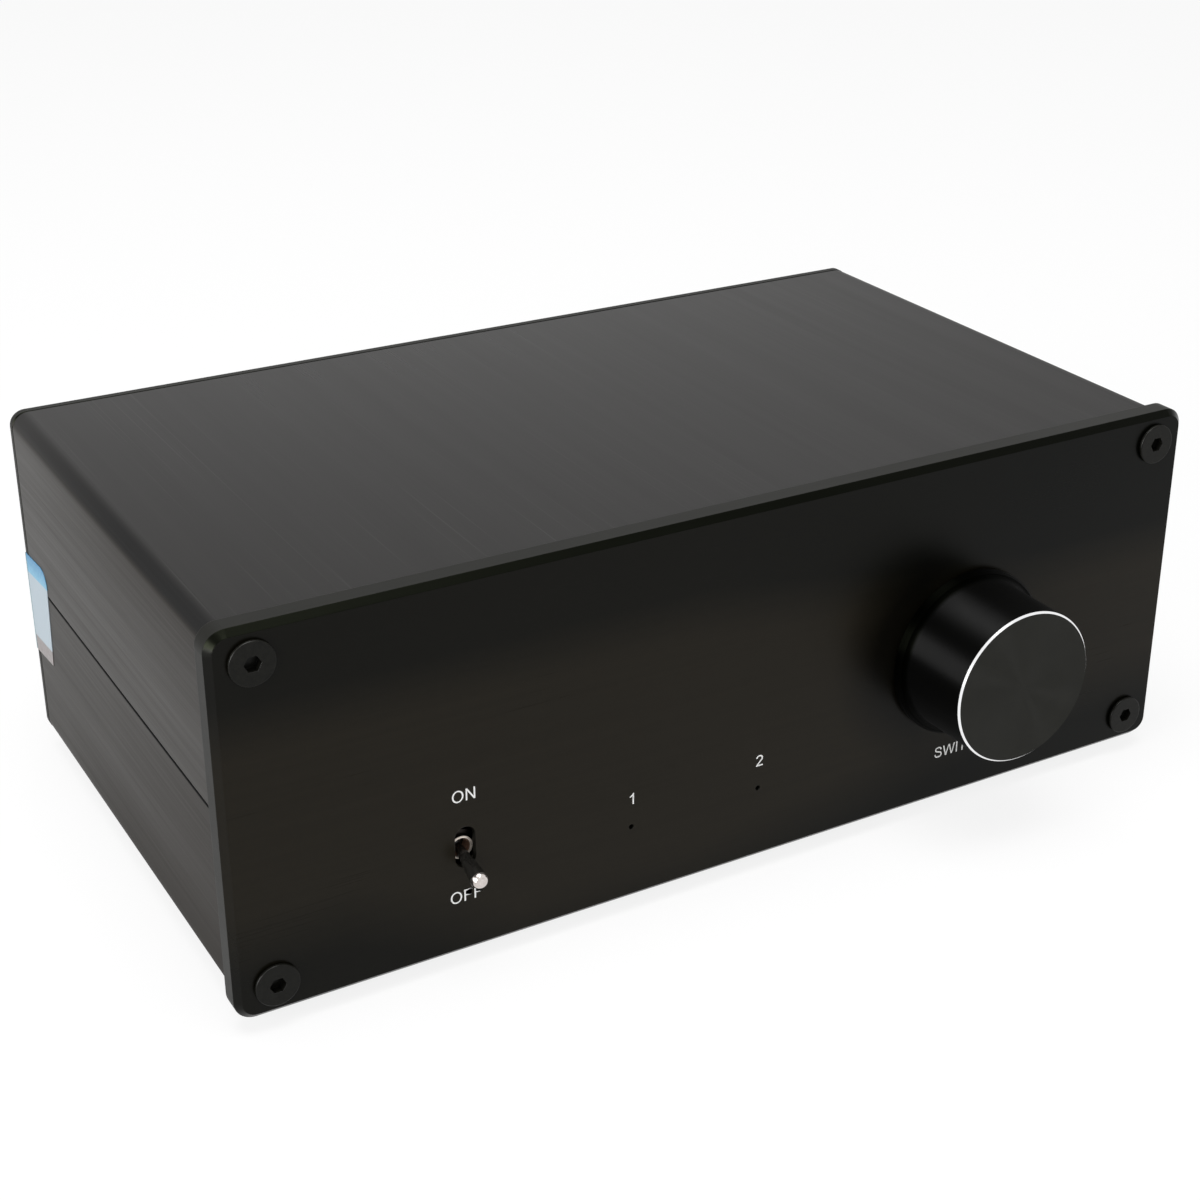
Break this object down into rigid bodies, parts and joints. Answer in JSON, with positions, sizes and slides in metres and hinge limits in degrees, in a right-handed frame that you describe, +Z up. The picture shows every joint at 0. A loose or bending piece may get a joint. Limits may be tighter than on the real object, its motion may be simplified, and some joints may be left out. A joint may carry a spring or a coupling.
{
  "type": "speaker selector switch",
  "caption": "Flat table-top metal box with a large round selector knob, a small toggle, two pin-hole lamps and a row of binding posts on its rear.",
  "frame": {"origin": "middle of the overall box, on the plane that the feet stand on", "axes": "+X to the right seen from the front, +Y from the front panel towards the binding posts, +Z up"},
  "size_m": [0.19, 0.1454, 0.0711],
  "materials": {
    "panel_anodised": "semi-gloss black anodised with a fine brushed grain",
    "shell_anodised": "satin black anodised, brushed along the depth",
    "knob_anodised": "gloss black anodised with a bright cut bevel",
    "black_screws": "black oxide",
    "foot_rubber": "matt",
    "label_vinyl": "satin printed vinyl, left blank",
    "circuit_board": "solder resist",
    "housing_plastic": "matt moulded",
    "connector_nylon": "natural nylon",
    "relay_plastic": "moulded",
    "capacitor_sleeve": "shrink sleeve",
    "lamp_lens": "diffused",
    "toggle_plastic": "moulded",
    "toggle_brass": "nickel-plated brass, worn",
    "bright_nickel": "bright nickel",
    "selector_metal": "zinc plated",
    "shaft_aluminium": "turned",
    "tinned_pins": "tin plated",
    "wire_insulation": "soft",
    "post_red": "moulded",
    "post_black": "moulded",
    "gold_plate": "gold plated"
  },
  "bodies": {
    "case": {"board_connector": "housing_plastic", "board_connector_pins": "tinned_pins", "capacitors": "capacitor_sleeve", "driver_chip": "housing_plastic", "driver_chip_legs": "tinned_pins", "front_panel": "panel_anodised", "front_panel_screws": "black_screws", "harness_plug": "connector_nylon", "harness_socket": "connector_nylon", "harness_wires": "wire_insulation", "lamp_1": "lamp_lens", "lamp_2": "lamp_lens", "lower_shell": "shell_anodised", "main_board": "circuit_board", "post_collars_minus": "post_black", "post_collars_plus": "post_red", "post_nuts": "gold_plate", "post_studs": "gold_plate", "post_washers": "post_black", "power_jack": "housing_plastic", "power_jack_contacts": "tinned_pins", "rear_plate": "panel_anodised", "rear_plate_screws": "black_screws", "rear_terminal_board": "circuit_board", "relay_pins": "tinned_pins", "relays": "relay_plastic", "rubber_feet": "foot_rubber", "selector_bushing": "selector_metal", "selector_housing": "housing_plastic", "selector_nut": "selector_metal", "selector_terminals": "tinned_pins", "selector_washer": "selector_metal", "side_label": "label_vinyl", "toggle_body": "toggle_plastic", "toggle_bushing": "toggle_brass", "toggle_terminals": "tinned_pins", "upper_shell": "shell_anodised"},
    "toggle_lever": {"toggle_lever": "bright_nickel", "toggle_wiper": "tinned_pins"},
    "selector": {"selector_shaft": "shaft_aluminium", "selector_rotor": "housing_plastic", "selector_wiper": "tinned_pins", "selector_knob": "knob_anodised", "knob_grub_screw": "black_screws"},
    "cap_input_left_minus": {"cap_input_left_minus": "post_black"},
    "cap_input_left_plus": {"cap_input_left_plus": "post_red"},
    "cap_input_right_minus": {"cap_input_right_minus": "post_black"},
    "cap_input_right_plus": {"cap_input_right_plus": "post_red"},
    "cap_speaker_1_left_minus": {"cap_speaker_1_left_minus": "post_black"},
    "cap_speaker_1_left_plus": {"cap_speaker_1_left_plus": "post_red"},
    "cap_speaker_1_right_minus": {"cap_speaker_1_right_minus": "post_black"},
    "cap_speaker_1_right_plus": {"cap_speaker_1_right_plus": "post_red"},
    "cap_speaker_2_left_minus": {"cap_speaker_2_left_minus": "post_black"},
    "cap_speaker_2_left_plus": {"cap_speaker_2_left_plus": "post_red"},
    "cap_speaker_2_right_minus": {"cap_speaker_2_right_minus": "post_black"},
    "cap_speaker_2_right_plus": {"cap_speaker_2_right_plus": "post_red"}
  },
  "joints": [
    {"name": "selector_turn", "type": "hinge", "parent": "case", "child": "selector", "pos_m": [0.0466, -0.0558, 0.033], "axis": [0, 1, 0], "range_deg": [0, 30]},
    {"name": "toggle_swing", "type": "hinge", "parent": "case", "child": "toggle_lever", "pos_m": [-0.0546, -0.0514, 0.0219], "axis": [-1, 0, 0], "range_deg": [0, 31]},
    {"name": "unscrew_input_left_minus", "type": "slide", "parent": "case", "child": "cap_input_left_minus", "axis": [0, 1, 0], "range_m": [0, 0.0035]},
    {"name": "unscrew_input_left_plus", "type": "slide", "parent": "case", "child": "cap_input_left_plus", "axis": [0, 1, 0], "range_m": [0, 0.0035]},
    {"name": "unscrew_input_right_minus", "type": "slide", "parent": "case", "child": "cap_input_right_minus", "axis": [0, 1, 0], "range_m": [0, 0.0035]},
    {"name": "unscrew_input_right_plus", "type": "slide", "parent": "case", "child": "cap_input_right_plus", "axis": [0, 1, 0], "range_m": [0, 0.0035]},
    {"name": "unscrew_speaker_1_left_minus", "type": "slide", "parent": "case", "child": "cap_speaker_1_left_minus", "axis": [0, 1, 0], "range_m": [0, 0.0035]},
    {"name": "unscrew_speaker_1_left_plus", "type": "slide", "parent": "case", "child": "cap_speaker_1_left_plus", "axis": [0, 1, 0], "range_m": [0, 0.0035]},
    {"name": "unscrew_speaker_1_right_minus", "type": "slide", "parent": "case", "child": "cap_speaker_1_right_minus", "axis": [0, 1, 0], "range_m": [0, 0.0035]},
    {"name": "unscrew_speaker_1_right_plus", "type": "slide", "parent": "case", "child": "cap_speaker_1_right_plus", "axis": [0, 1, 0], "range_m": [0, 0.0035]},
    {"name": "unscrew_speaker_2_left_minus", "type": "slide", "parent": "case", "child": "cap_speaker_2_left_minus", "axis": [0, 1, 0], "range_m": [0, 0.0035]},
    {"name": "unscrew_speaker_2_left_plus", "type": "slide", "parent": "case", "child": "cap_speaker_2_left_plus", "axis": [0, 1, 0], "range_m": [0, 0.0035]},
    {"name": "unscrew_speaker_2_right_minus", "type": "slide", "parent": "case", "child": "cap_speaker_2_right_minus", "axis": [0, 1, 0], "range_m": [0, 0.0035]},
    {"name": "unscrew_speaker_2_right_plus", "type": "slide", "parent": "case", "child": "cap_speaker_2_right_plus", "axis": [0, 1, 0], "range_m": [0, 0.0035]}
  ]
}
